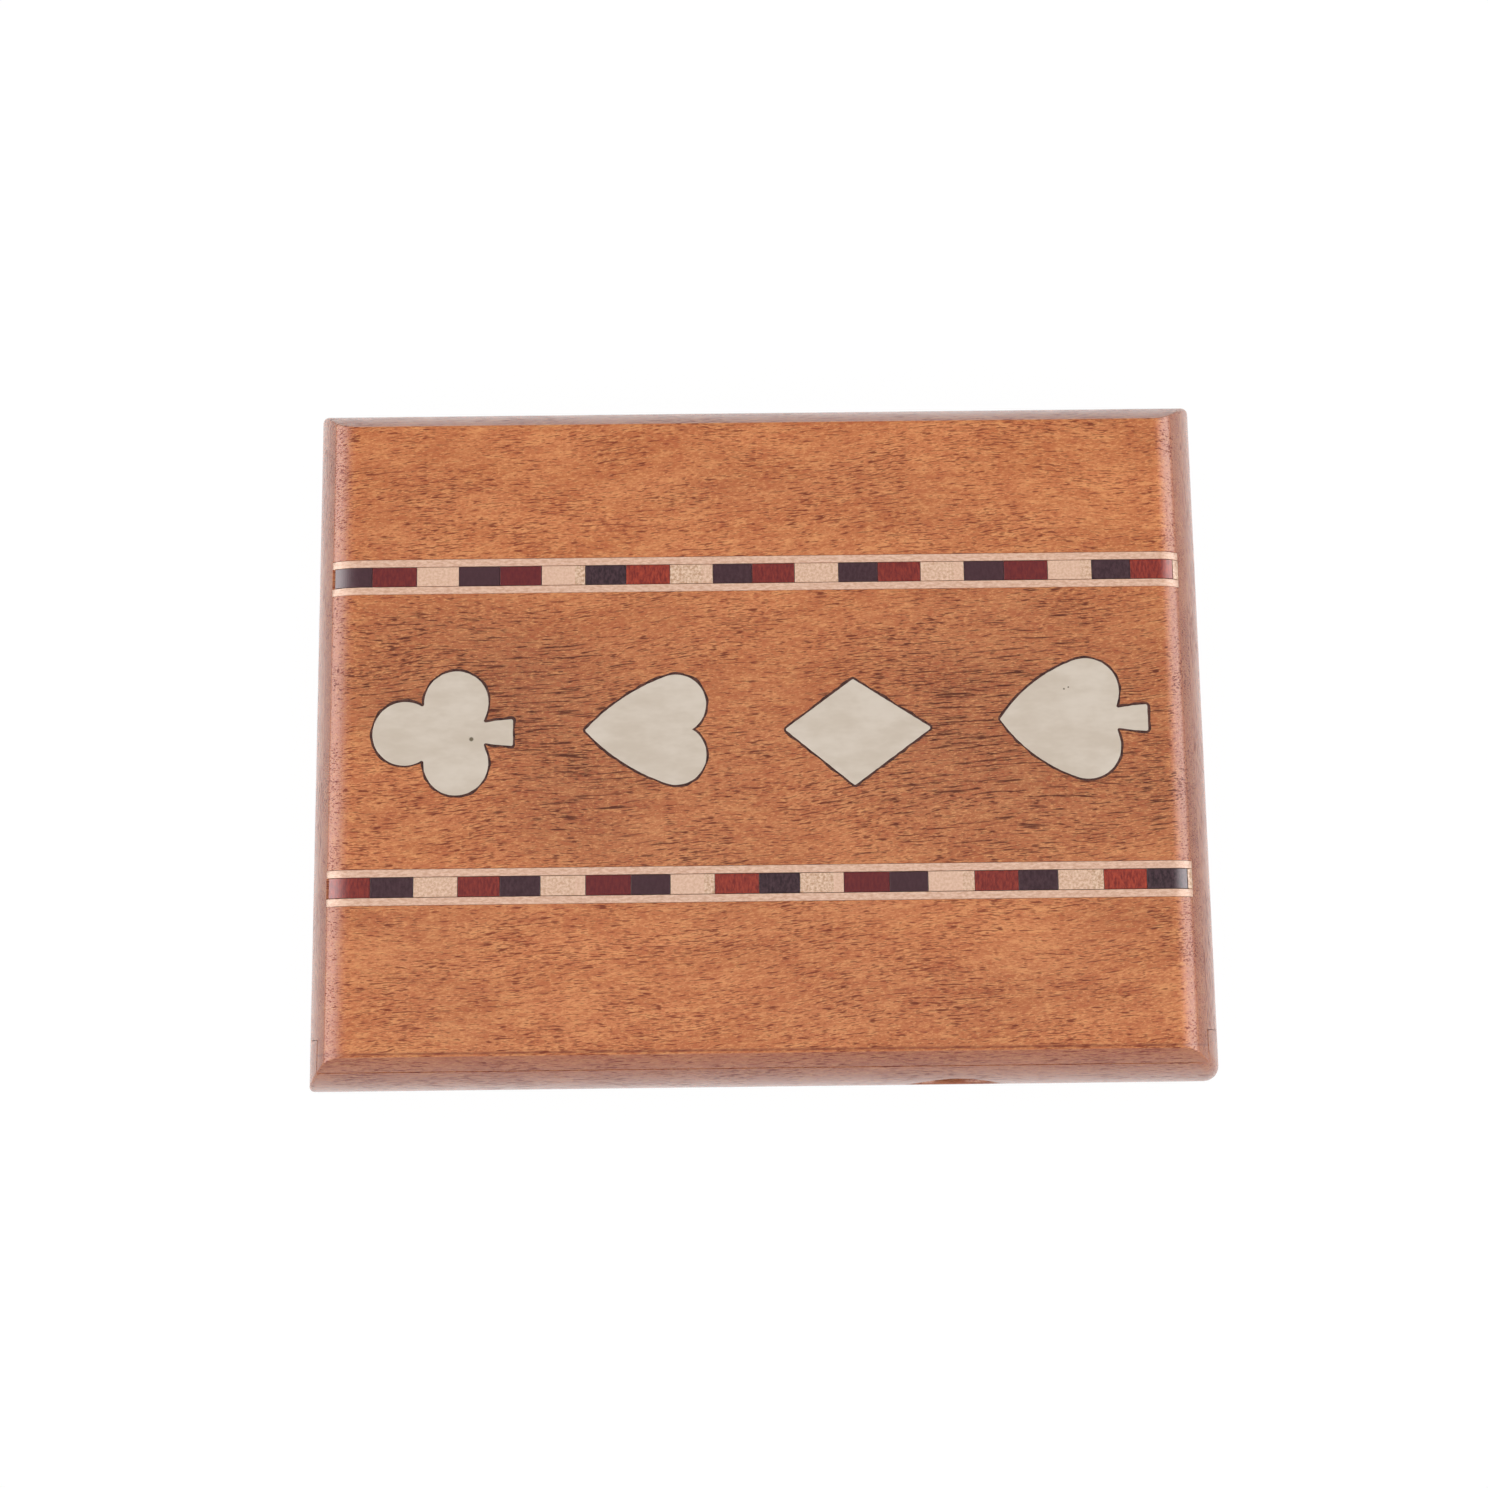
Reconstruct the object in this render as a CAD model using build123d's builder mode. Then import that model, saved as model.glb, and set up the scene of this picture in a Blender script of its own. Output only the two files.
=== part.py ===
"""Wooden two-pack playing card box: an inlaid case with one drawer.

Frame: millimetres, +Z up. X runs along the long side, -Y is the front, where the drawer comes
out. The origin is the middle of the underside.
"""

from build123d import *
from math import asin, atan2, ceil, copysign, cos, degrees, radians, sin, sqrt
import os

# Outside of the closed box
box_length = 165.0  # left to right
box_depth = 126.5  # front to back
box_height = 38.0
shoulder_run = 8.0  # the rounded shoulder comes in this far from each side
shoulder_drop = 16.8  # and falls this far below the flat top
crown_radius = 4.0  # tight upper bend of the shoulder; a slow arc runs from it to the wall
corner_radius = 2.0  # upright corners
foot_rounding = 0.8  # lower edge of the bottom board

# Boards of the case
top_thickness = 4.0
bottom_thickness = 4.0
side_thickness = 8.0
back_thickness = 8.0

# Drawer
front_thickness = 9.0
drawer_side_thickness = 4.0
drawer_back_thickness = 4.0
drawer_bottom_thickness = 3.0
divider_thickness = 4.0
lining_thickness = 1.0
bottom_rise = 2.0  # lower edge of the drawer sides up to the panel's groove
drawer_tail = 2.0  # drawer sides run on behind the drawer back
divider_drop = 4.0  # divider's top edge below that of the drawer sides
edge_rounding = 0.8  # top edges of the drawer sides and divider

# Joinery depths
side_housing = 4.0  # drawer sides let into the drawer front
groove_depth = 1.5  # drawer bottom in the sides and front
back_housing = 1.5  # drawer back in the drawer sides
divider_housing = 1.0  # divider in the drawer front and back

# Running clearances
face_gap = 0.3  # round the drawer front
side_clearance = 0.4  # drawer sides to case sides
under_clearance = 0.3  # drawer sides to bottom board
head_clearance = 0.8  # drawer sides to top board
rear_clearance = 1.0  # drawer sides to back wall
lining_clearance = 0.3

# Finger hole in the drawer front
finger_hole_diameter = 18.5
finger_hole_x = 34.6

# Inlay let into the top
inlay_depth = 1.6
glue_line = 0.3  # dark glue round each suit
banding_line_width = 1.45
banding_block_width = 3.6
rear_banding_inset = 34.4  # rear face of the box to the middle of the banding
front_banding_inset = 35.6
dark_block_length = 7.2
red_block_length = 7.8
light_block_length = 7.95
rear_banding_margin = 5.25  # left face of the box to the pattern's first repeat
front_banding_margin = 5.25

# Suits, laid with their tips to the left
club_length = 25.2
club_span = 22.6
club_lobe_radius = 5.8
club_lobe_pitch = 9.2  # first lobe to the pair, along the suit
heart_length = 21.8
heart_span = 20.1
heart_lobe_radius = 5.45
diamond_length = 26.4
diamond_rise = 9.1  # axis to the rear corner
diamond_fall = 10.3  # axis to the front corner
diamond_lean = 0.8  # cross corners sit this far left of the middle
spade_length = 26.6
spade_leaf_length = 21.6
spade_span = 22.0
spade_lobe_radius = 6.0
stem_neck = 3.4
stem_foot = 4.9
lobe_wrap = 110.0  # degrees: where a lobe runs into its straight flank
suit_rounding = 0.35  # corners left by the saw
club_inset = 25.4  # left face of the box to the middle of the club
heart_x = -20.7
heart_y = 0.2
diamond_x = 17.5
spade_inset = 26.2  # right face of the box to the middle of the spade
spade_y = 1.4

# Levels and faces that follow from the sizes above
front_face = -box_depth / 2
back_face = box_depth / 2
case_front = front_face + front_thickness + face_gap
ceiling_level = box_height - top_thickness
opening_half = box_length / 2 - side_thickness
cavity_rear = back_face - back_thickness
front_inner = front_face + front_thickness
drawer_under = bottom_thickness + under_clearance
drawer_upper = ceiling_level - head_clearance
drawer_half = opening_half - side_clearance
tray_half = drawer_half - drawer_side_thickness
side_rear = cavity_rear - rear_clearance
back_rear = side_rear - drawer_tail
back_front = back_rear - drawer_back_thickness
panel_under = drawer_under + bottom_rise
panel_upper = panel_under + drawer_bottom_thickness
front_height = ceiling_level - bottom_thickness - 2 * face_gap
finger_hole_z = (bottom_thickness + ceiling_level) / 2
banding_width = banding_block_width + 2 * banding_line_width
left_face = -box_length / 2
right_face = box_length / 2
rear_banding_y = back_face - rear_banding_inset
front_banding_y = front_face + front_banding_inset

os.makedirs("parts", exist_ok=True)


def finish(piece, name):
    # labels a finished piece and writes it under its own name
    piece.part.label = name
    export_step(piece.part, f"parts/{name}.step")
    print(f"{name}: {len(piece.part.solids())} solid(s), {piece.part.volume:.0f} mm3")


def plan_rectangle(x_range, y_range):
    # a rectangle in the open sketch, from its left, right, front and rear limits
    left, right = x_range
    front, rear = y_range
    with Locations(((left + right) / 2, (front + rear) / 2)):
        Rectangle(right - left, rear - front)


def shoulder_section(width):
    # upright section of the whole box: flat base, straight walls and two-arc shoulders
    wall_top = box_height - shoulder_drop
    # radius that meets the wall and the crown without a corner
    rise_below_crown = shoulder_drop - crown_radius
    flank_radius = (shoulder_run**2 + shoulder_drop * (rise_below_crown - crown_radius)) / (
        2 * (shoulder_run - crown_radius)
    )
    flank_angle = degrees(atan2(rise_below_crown, flank_radius - shoulder_run))
    with BuildSketch() as section:
        with BuildLine():
            base = Line((0, 0), (width / 2, 0))
            Line(base @ 1, (width / 2, wall_top))
            CenterArc((width / 2 - flank_radius, wall_top), flank_radius, 0, flank_angle)
            crown_centre = (width / 2 - shoulder_run, box_height - crown_radius)
            crown = CenterArc(crown_centre, crown_radius, flank_angle, 90 - flank_angle)
            Line(crown @ 1, (0, box_height))
            mirror(about=Plane.YZ)
        make_face()
    return section.sketch


# Outer form of the closed box: the two sections cross, so the shoulders meet in true mitres
with BuildPart() as outer_form:
    with BuildSketch(Plane.XY):
        RectangleRounded(box_length, box_depth, corner_radius)
    extrude(amount=box_height)
    with BuildSketch(Plane.XZ):
        add(shoulder_section(box_length))
    extrude(amount=box_depth, both=True, mode=Mode.INTERSECT)
    with BuildSketch(Plane.YZ):
        add(shoulder_section(box_depth))
    extrude(amount=box_length, both=True, mode=Mode.INTERSECT)


# Suit outlines, each centred on its own length, with its axis along X. grow widens an outline
# evenly, for the pocket that the suit is glued into.

def stem(start_x, end_x, grow):
    # the flared stalk of a club or spade
    Polygon(
        (start_x, -stem_neck / 2 - grow),
        (end_x + grow, -stem_foot / 2 - grow),
        (end_x + grow, stem_foot / 2 + grow),
        (start_x, stem_neck / 2 + grow),
        align=None,
    )


def leaf_outline(length, span, lobe_radius, tip_x, grow):
    # heart shape: two round lobes on the right, bowed flanks drawn in to a tip on the left
    lobe_x = tip_x + length - lobe_radius
    lobe_y = span / 2 - lobe_radius
    # the flank's arc leaves the lobe without a corner and ends at the tip
    outward = Vector(cos(radians(lobe_wrap)), sin(radians(lobe_wrap)))
    lobe_end = Vector(lobe_x, lobe_y) + outward * lobe_radius
    to_tip = Vector(tip_x, 0) - lobe_end
    flank_radius = -to_tip.length**2 / (2 * to_tip.dot(outward))
    flank_centre = lobe_end - outward * flank_radius
    # lobe and flank widen about their own centres
    grown_radius = lobe_radius + grow
    grown_tip = flank_centre.X - sqrt((flank_radius + grow) ** 2 - flank_centre.Y**2)
    cleft_angle = degrees(asin(lobe_y / grown_radius))
    with BuildSketch() as leaf:
        with BuildLine():
            lobe = CenterArc((lobe_x, lobe_y), grown_radius, -cleft_angle, lobe_wrap + cleft_angle)
            TangentArc(lobe @ 1, (grown_tip, 0), tangent=lobe % 1)
            mirror(about=Plane.XZ)
        make_face()
    return leaf.sketch


def club_outline(grow=0.0):
    tip_lobe = (club_lobe_radius - club_length / 2, 0)
    pair_x = tip_lobe[0] + club_lobe_pitch
    pair_y = club_span / 2 - club_lobe_radius
    with BuildSketch() as outline:
        with Locations(tip_lobe, (pair_x, pair_y), (pair_x, -pair_y)):
            Circle(club_lobe_radius + grow)
        Polygon(tip_lobe, (pair_x, -pair_y), (pair_x, pair_y), align=None)
        stem(pair_x, club_length / 2, grow)
        fillet(outline.vertices(), suit_rounding)
    return outline.sketch


def heart_outline(grow=0.0):
    with BuildSketch() as outline:
        add(leaf_outline(heart_length, heart_span, heart_lobe_radius, -heart_length / 2, grow))
        fillet(outline.vertices().group_by(Axis.X)[0], suit_rounding)
    return outline.sketch


def diamond_outline(grow=0.0):
    with BuildSketch() as outline:
        Polygon(
            (-diamond_length / 2, 0),
            (-diamond_lean, -diamond_fall),
            (diamond_length / 2, 0),
            (-diamond_lean, diamond_rise),
            align=None,
        )
        offset(amount=grow, kind=Kind.INTERSECTION)
        fillet(outline.vertices(), suit_rounding)
    return outline.sketch


def spade_outline(grow=0.0):
    tip_x = -spade_length / 2
    with BuildSketch() as outline:
        add(leaf_outline(spade_leaf_length, spade_span, spade_lobe_radius, tip_x, grow))
        stem(tip_x + spade_leaf_length - spade_lobe_radius, spade_length / 2, grow)
        tip, flank_ends, neck, foot = outline.vertices().group_by(Axis.X)
        fillet(tip + neck + foot, suit_rounding)
    return outline.sketch


suits = {
    "club_inlay": (club_outline, (left_face + club_inset, 0)),
    "heart_inlay": (heart_outline, (heart_x, heart_y)),
    "diamond_inlay": (diamond_outline, (diamond_x, 0)),
    "spade_inlay": (spade_outline, (right_face - spade_inset, spade_y)),
}


# Case

with BuildPart() as top_board:
    with BuildSketch(Plane.XY.offset(ceiling_level)):
        Rectangle(box_length, box_depth)
    extrude(amount=top_thickness)
    add(outer_form.part, mode=Mode.INTERSECT)
    with BuildSketch(Plane.XY.offset(box_height)):
        with Locations((0, rear_banding_y), (0, front_banding_y)):
            Rectangle(box_length, banding_width)
    extrude(amount=-inlay_depth, mode=Mode.SUBTRACT)
    for suit_outline, place in suits.values():
        with BuildSketch(Plane.XY.offset(box_height)):
            with Locations(place):
                add(suit_outline(grow=glue_line))
        extrude(amount=-inlay_depth, mode=Mode.SUBTRACT)
finish(top_board, "top_board")

with BuildPart() as bottom_board:
    with BuildSketch(Plane.XY):
        Rectangle(box_length, box_depth)
    extrude(amount=bottom_thickness)
    add(outer_form.part, mode=Mode.INTERSECT)
    fillet(bottom_board.edges().group_by(Axis.Z)[0], foot_rounding)
finish(bottom_board, "bottom_board")

# The walls stand between the two boards and meet in mitres at the back corners
for name, hand in (("left_side", -1), ("right_side", 1)):
    with BuildPart() as case_side:
        with BuildSketch(Plane.XY.offset(bottom_thickness)):
            Polygon(
                (hand * box_length / 2, case_front),
                (hand * box_length / 2, back_face),
                (hand * opening_half, cavity_rear),
                (hand * opening_half, case_front),
                align=None,
            )
        extrude(amount=ceiling_level - bottom_thickness)
        add(outer_form.part, mode=Mode.INTERSECT)
    finish(case_side, name)

with BuildPart() as back_wall:
    with BuildSketch(Plane.XY.offset(bottom_thickness)):
        Polygon(
            (-box_length / 2, back_face),
            (-opening_half, cavity_rear),
            (opening_half, cavity_rear),
            (box_length / 2, back_face),
            align=None,
        )
    extrude(amount=ceiling_level - bottom_thickness)
    add(outer_form.part, mode=Mode.INTERSECT)
finish(back_wall, "back_wall")


# Inlay

for name, (suit_outline, place) in suits.items():
    with BuildPart() as suit:
        with BuildSketch(Plane.XY.offset(box_height)):
            with Locations(place):
                add(suit_outline())
        extrude(amount=-inlay_depth)
    finish(suit, name)

block_lengths = {
    "dark_blocks": dark_block_length,
    "red_blocks": red_block_length,
    "light_blocks": light_block_length,
}
pattern_length = sum(block_lengths.values())


def banding(name, middle_y, margin, block_order):
    # two light lines with a row of coloured blocks between them, let into one groove
    line_offset = (banding_block_width + banding_line_width) / 2
    to_edge = copysign(1, middle_y)
    for line_name, line_side in (("outer_line", to_edge), ("inner_line", -to_edge)):
        with BuildPart() as line:
            with BuildSketch(Plane.XY.offset(box_height)):
                with Locations((0, middle_y + line_side * line_offset)):
                    Rectangle(box_length, banding_line_width)
            extrude(amount=-inlay_depth)
            add(outer_form.part, mode=Mode.INTERSECT)
        finish(line, f"{name}_{line_name}")

    block_rows = (middle_y - banding_block_width / 2, middle_y + banding_block_width / 2)
    pattern_count = ceil((box_length - margin) / pattern_length)
    block_start = left_face + margin
    for kind in block_order:
        length = block_lengths[kind]
        with BuildPart() as blocks:
            with BuildSketch(Plane.XY.offset(box_height)):
                for turn in range(pattern_count):
                    left = block_start + turn * pattern_length
                    # the very first block is left long, to run out over the shoulder
                    first = turn == 0 and kind == block_order[0]
                    plan_rectangle((left_face if first else left, left + length), block_rows)
            extrude(amount=-inlay_depth)
            add(outer_form.part, mode=Mode.INTERSECT)
        finish(blocks, f"{name}_{kind}")
        block_start += length


rear_order = ("dark_blocks", "red_blocks", "light_blocks")
front_order = ("red_blocks", "dark_blocks", "light_blocks")
banding("rear_banding", rear_banding_y, rear_banding_margin, rear_order)
banding("front_banding", front_banding_y, front_banding_margin, front_order)


# Drawer: each joint's recess is cut by the piece that sits in it

with BuildPart() as drawer_bottom:
    with BuildSketch(Plane.XY.offset(panel_under)):
        plan_rectangle(
            (-tray_half - groove_depth, tray_half + groove_depth),
            (front_inner - groove_depth, back_rear),
        )
    extrude(amount=drawer_bottom_thickness)
finish(drawer_bottom, "drawer_bottom")

with BuildPart() as drawer_divider:
    with BuildSketch(Plane.XY.offset(panel_upper)):
        plan_rectangle(
            (-divider_thickness / 2, divider_thickness / 2),
            (front_inner - divider_housing, back_front + divider_housing),
        )
    extrude(amount=drawer_upper - divider_drop - panel_upper)
    fillet(
        drawer_divider.faces().sort_by(Axis.Z)[-1].edges().filter_by(Axis.Y),
        edge_rounding,
    )
finish(drawer_divider, "drawer_divider")

with BuildPart() as drawer_back:
    with BuildSketch(Plane.XY.offset(panel_upper)):
        plan_rectangle(
            (-tray_half - back_housing, tray_half + back_housing),
            (back_front, back_rear),
        )
    extrude(amount=drawer_upper - panel_upper)
    add(drawer_divider.part, mode=Mode.SUBTRACT)
finish(drawer_back, "drawer_back")

drawer_sides = []
for name, hand in (("drawer_left_side", -1), ("drawer_right_side", 1)):
    with BuildPart() as drawer_side:
        with BuildSketch(Plane.XY.offset(drawer_under)):
            plan_rectangle(
                sorted((hand * tray_half, hand * drawer_half)),
                (front_inner - side_housing, side_rear),
            )
        extrude(amount=drawer_upper - drawer_under)
        fillet(drawer_side.edges().filter_by(Axis.Y).group_by(Axis.Z)[-1], edge_rounding)
        add((drawer_bottom.part, drawer_back.part), mode=Mode.SUBTRACT)
    finish(drawer_side, name)
    drawer_sides.append(drawer_side.part)

with BuildPart() as drawer_front:
    with BuildSketch(Plane.XY.offset(bottom_thickness + face_gap)):
        plan_rectangle((left_face, right_face), (front_face, front_inner))
    extrude(amount=front_height)
    add(outer_form.part, mode=Mode.INTERSECT)
    with BuildSketch(Plane.XZ.offset(-front_face)):
        with Locations((finger_hole_x, finger_hole_z)):
            Circle(finger_hole_diameter / 2)
    extrude(amount=-front_thickness, mode=Mode.SUBTRACT)
    add((drawer_bottom.part, drawer_divider.part, *drawer_sides), mode=Mode.SUBTRACT)
finish(drawer_front, "drawer_front")

# A thin lining lies on the floor of each compartment
for name, hand in (("drawer_lining_left", -1), ("drawer_lining_right", 1)):
    near = divider_thickness / 2 + lining_clearance
    far = tray_half - lining_clearance
    with BuildPart() as lining:
        with BuildSketch(Plane.XY.offset(panel_upper)):
            plan_rectangle(
                sorted((hand * near, hand * far)),
                (front_inner + lining_clearance, back_front - lining_clearance),
            )
        extrude(amount=lining_thickness)
    finish(lining, name)
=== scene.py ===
import bpy
import bmesh
import math
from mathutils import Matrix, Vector, geometry, noise


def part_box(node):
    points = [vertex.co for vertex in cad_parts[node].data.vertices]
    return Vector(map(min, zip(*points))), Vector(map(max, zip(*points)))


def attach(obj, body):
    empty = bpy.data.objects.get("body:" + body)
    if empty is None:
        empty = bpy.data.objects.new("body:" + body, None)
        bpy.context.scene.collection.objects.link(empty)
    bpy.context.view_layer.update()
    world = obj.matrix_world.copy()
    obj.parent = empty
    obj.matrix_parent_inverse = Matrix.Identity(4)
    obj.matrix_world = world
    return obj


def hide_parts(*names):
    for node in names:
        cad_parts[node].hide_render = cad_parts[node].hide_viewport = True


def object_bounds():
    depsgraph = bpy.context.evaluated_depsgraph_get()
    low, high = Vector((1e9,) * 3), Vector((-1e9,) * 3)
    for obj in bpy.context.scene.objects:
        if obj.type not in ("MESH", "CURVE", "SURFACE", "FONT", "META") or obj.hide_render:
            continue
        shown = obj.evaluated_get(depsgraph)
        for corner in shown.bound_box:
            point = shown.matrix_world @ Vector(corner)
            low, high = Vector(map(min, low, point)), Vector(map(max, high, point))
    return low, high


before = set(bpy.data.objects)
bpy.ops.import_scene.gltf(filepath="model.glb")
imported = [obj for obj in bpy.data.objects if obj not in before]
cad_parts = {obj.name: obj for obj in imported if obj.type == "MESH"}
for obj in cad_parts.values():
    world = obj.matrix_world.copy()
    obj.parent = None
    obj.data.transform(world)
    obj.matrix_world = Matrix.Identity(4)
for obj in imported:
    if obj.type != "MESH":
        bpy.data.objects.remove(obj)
cadLow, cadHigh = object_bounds()
mm = 0.001
print("frame loaded:", len(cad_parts), "nodes")


# Nodes, written short

def srgb(red, green, blue):
    # a colour picked on screen, 0 to 255, as the shader takes it
    def straight(value):
        value /= 255
        return value / 12.92 if value <= 0.04045 else ((value + 0.055) / 1.055) ** 2.4
    return (straight(red), straight(green), straight(blue), 1.0)


def addNode(tree, kind, **settings):
    made = tree.nodes.new(kind)
    for key, value in settings.items():
        setattr(made, key, value)
    return made


def feed(tree, socket, value):
    # a socket takes another node's output, or a plain value
    if isinstance(value, bpy.types.NodeSocket):
        tree.links.new(value, socket)
    else:
        socket.default_value = value


def calc(tree, operation, first, second=0.0, third=0.0):
    made = addNode(tree, "ShaderNodeMath", operation=operation)
    for socket, value in zip(made.inputs, (first, second, third)):
        feed(tree, socket, value)
    return made.outputs[0]


def ease(tree, value, low, high, start=0.0, end=1.0):
    # smooth step from start to end while value goes from low to high
    made = addNode(tree, "ShaderNodeMapRange", interpolation_type="SMOOTHSTEP")
    for socket, number in zip(made.inputs, (value, low, high, start, end)):
        feed(tree, socket, number)
    return made.outputs[0]


def tint(tree, factor, under, over, mode="MIX"):
    made = addNode(tree, "ShaderNodeMix", data_type="RGBA", blend_type=mode)
    feed(tree, made.inputs[0], factor)
    feed(tree, made.inputs[6], under)
    feed(tree, made.inputs[7], over)
    return made.outputs[2]


def stretch(tree, where, factors):
    made = addNode(tree, "ShaderNodeVectorMath", operation="MULTIPLY")
    feed(tree, made.inputs[0], where)
    feed(tree, made.inputs[1], factors)
    return made.outputs[0]


def cloud(tree, where, size, detail=2.0, roughness=0.5):
    # noise whose features measure about size along x, y and z
    made = addNode(tree, "ShaderNodeTexNoise")
    feed(tree, made.inputs["Vector"], stretch(tree, where, tuple(1 / s for s in size)))
    made.inputs["Scale"].default_value = 1.0
    made.inputs["Detail"].default_value = detail
    made.inputs["Roughness"].default_value = roughness
    return made.outputs[0]


def newMaterial(name):
    material = bpy.data.materials.new(name)
    material.use_nodes = True
    tree = material.node_tree
    return material, tree, tree.nodes["Principled BSDF"]


def objectPlace(tree, shift=(0, 0, 0), turn=0.0):
    mapping = addNode(tree, "ShaderNodeMapping")
    coordinates = addNode(tree, "ShaderNodeTexCoord")
    tree.links.new(coordinates.outputs["Object"], mapping.inputs["Vector"])
    mapping.inputs["Location"].default_value = shift
    mapping.inputs["Rotation"].default_value = (0, 0, turn)
    return mapping.outputs[0]


def emboss(tree, shader, height, strength, distance):
    bump = addNode(tree, "ShaderNodeBump")
    bump.inputs["Strength"].default_value = strength
    bump.inputs["Distance"].default_value = distance
    feed(tree, bump.inputs["Height"], height)
    tree.links.new(bump.outputs[0], shader.inputs["Normal"])


# Wood

lacquer = {"roughness": 0.25, "ior": 1.56, "woodShine": 0.15}
figureSizes = {  # how long, wide and deep the parts of the figure are
    "wander": (0.05, 0.035, 0.035),
    "wild": (0.045, 0.02, 0.02),
    "mottle": (0.018, 0.006, 0.006),
    "patch": (0.004, 0.0012, 0.0012),
    "fibre": (0.0009, 0.00032, 0.00032),
    "spread": (0.012, 0.006, 0.006),
    "creaseLine": (0.006, 1.0, 1.0),
}
secondPores = (0.11, 0.07, 0.03)  # the smaller pores read the noise this far away


def lacquerOver(shader):
    shader.inputs["Specular IOR Level"].default_value = lacquer["woodShine"]
    shader.inputs["Coat Roughness"].default_value = lacquer["roughness"]
    shader.inputs["Coat IOR"].default_value = lacquer["ior"]


def woodMaterial(name, look):
    material, tree, shader = newMaterial(name)
    place = objectPlace(tree, look["shift"], look.get("turn", 0.0))
    parts = addNode(tree, "ShaderNodeSeparateXYZ")
    feed(tree, parts.inputs[0], place)
    x, y, z = parts.outputs
    # the grain climbs slightly to the right and wanders on its way
    wander = cloud(tree, place, figureSizes["wander"], 1.0)
    climb = calc(tree, "MULTIPLY", x, look["lean"])
    drift = calc(tree, "MULTIPLY_ADD", wander, look["wander"], climb)
    join = addNode(tree, "ShaderNodeCombineXYZ")
    feed(tree, join.inputs[0], x)
    feed(tree, join.inputs[1], calc(tree, "SUBTRACT", y, drift))
    feed(tree, join.inputs[2], z)
    grain = join.outputs[0]

    # how wild the figure is: 0 calm, 1 dark and streaky
    wild = cloud(tree, place, figureSizes["wild"], 1.0)
    wild = ease(tree, wild, 0.35, 0.75, 0.0, look["wildness"])
    for zone in look.get("zones", ()):
        away = addNode(tree, "ShaderNodeVectorMath", operation="DISTANCE")
        size = (1 / zone["size"][0], 1 / zone["size"][1], 0.0)
        feed(tree, away.inputs[0], stretch(tree, place, size))
        centre = [c * f for c, f in zip((*zone["place"], 0.0), size)]
        away.inputs[1].default_value = centre
        inside = ease(tree, away.outputs["Value"], 1.2, 0.3, 0.0, zone["strength"])
        wild = calc(tree, "ADD", wild, inside)

    mottle = cloud(tree, grain, figureSizes["mottle"], 3.0, 0.6)
    colour = tint(tree, ease(tree, mottle, 0.25, 0.75), look["deep"], look["pale"])
    patch = cloud(tree, grain, figureSizes["patch"], 2.0, 0.6)
    colour = tint(tree, ease(tree, patch, 0.48, 0.75, 0.0, look["figure"]), colour, look["glow"])
    colour = tint(tree, ease(tree, patch, 0.52, 0.25, 0.0, look["figure"]), colour, look["blush"])
    colour = tint(tree, calc(tree, "MULTIPLY", wild, look["duskShare"]), colour, look["dusk"])
    fibre = cloud(tree, grain, figureSizes["fibre"], 2.0, 0.8)
    colour = tint(tree, ease(tree, fibre, 0.5, 0.32, 0.0, look["fibre"]), colour, look["blush"])
    colour = tint(tree, ease(tree, fibre, 0.5, 0.68, 0.0, look["fibre"]), colour, look["glow"])

    # short pores everywhere, long dark streaks where the figure is wild
    length, width = look["pores"]
    spread = cloud(tree, place, figureSizes["spread"], 1.0)
    few, many = look["poreLimit"] + look["poreSpread"], look["poreLimit"] - look["poreSpread"]
    limit = ease(tree, spread, 0.3, 0.7, few, many)
    short = cloud(tree, grain, (length, width, width), 1.0, 0.5)
    pores = ease(tree, calc(tree, "SUBTRACT", short, limit), 0.0, 0.1)
    aside = addNode(tree, "ShaderNodeVectorMath", operation="ADD")
    feed(tree, aside.inputs[0], grain)
    aside.inputs[1].default_value = secondPores
    tiny = cloud(tree, aside.outputs[0], (length * 0.5, width * 0.8, width * 0.8), 1.0, 0.5)
    tinyPores = ease(tree, calc(tree, "SUBTRACT", tiny, limit), 0.0, 0.1, 0.0, 0.7)
    long = cloud(tree, grain, (length * 3, width * 1.6, width * 1.6), 2.5, 0.65)
    longLimit = calc(tree, "MULTIPLY_ADD", wild, -0.14, look["streakLimit"])
    streaks = ease(tree, calc(tree, "SUBTRACT", long, longLimit), 0.0, 0.12)
    colour = tint(tree, calc(tree, "MULTIPLY", streaks, look["poreDepth"]), colour, look["streak"])
    marks = calc(tree, "MAXIMUM", pores, tinyPores)
    poreTone = tint(tree, wild, look["pore"], look["streak"])
    colour = tint(tree, calc(tree, "MULTIPLY", marks, look["poreDepth"]), colour, poreTone)
    marks = calc(tree, "MAXIMUM", marks, streaks)
    # painted shade: below the flat top the shoulders and walls are darkened towards a dark
    # red-brown, standing in for the light that reaches them less
    level = look["paintedShadeLevel"] + look["shift"][2]
    edge = ease(tree, z, level - look["paintedShadeBlend"], level, look["paintedShadeAmount"], 0.0)
    colour = tint(tree, edge, colour, look["paintedShadeColour"])
    if "crease" in look:
        # a darker line along the front arris, with darker patches in it
        off = calc(tree, "ABSOLUTE", calc(tree, "SUBTRACT", y, look["crease"]))
        along = stretch(tree, place, (1.0, 0.0, 0.0))
        uneven = cloud(tree, along, figureSizes["creaseLine"], 3.0, 0.7)
        uneven = ease(tree, uneven, 0.35, 0.7, 0.4, 1.0)
        arrisLine = ease(tree, off, look["creaseWidth"], 0.0)
        colour = tint(tree, calc(tree, "MULTIPLY", arrisLine, uneven), colour, look["pore"])

    feed(tree, shader.inputs["Base Color"], colour)
    smooth, rough = look["gloss"] - look["glossSpread"], look["gloss"] + look["glossSpread"]
    feed(tree, shader.inputs["Roughness"], ease(tree, fibre, 0.3, 0.7, smooth, rough))
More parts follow.
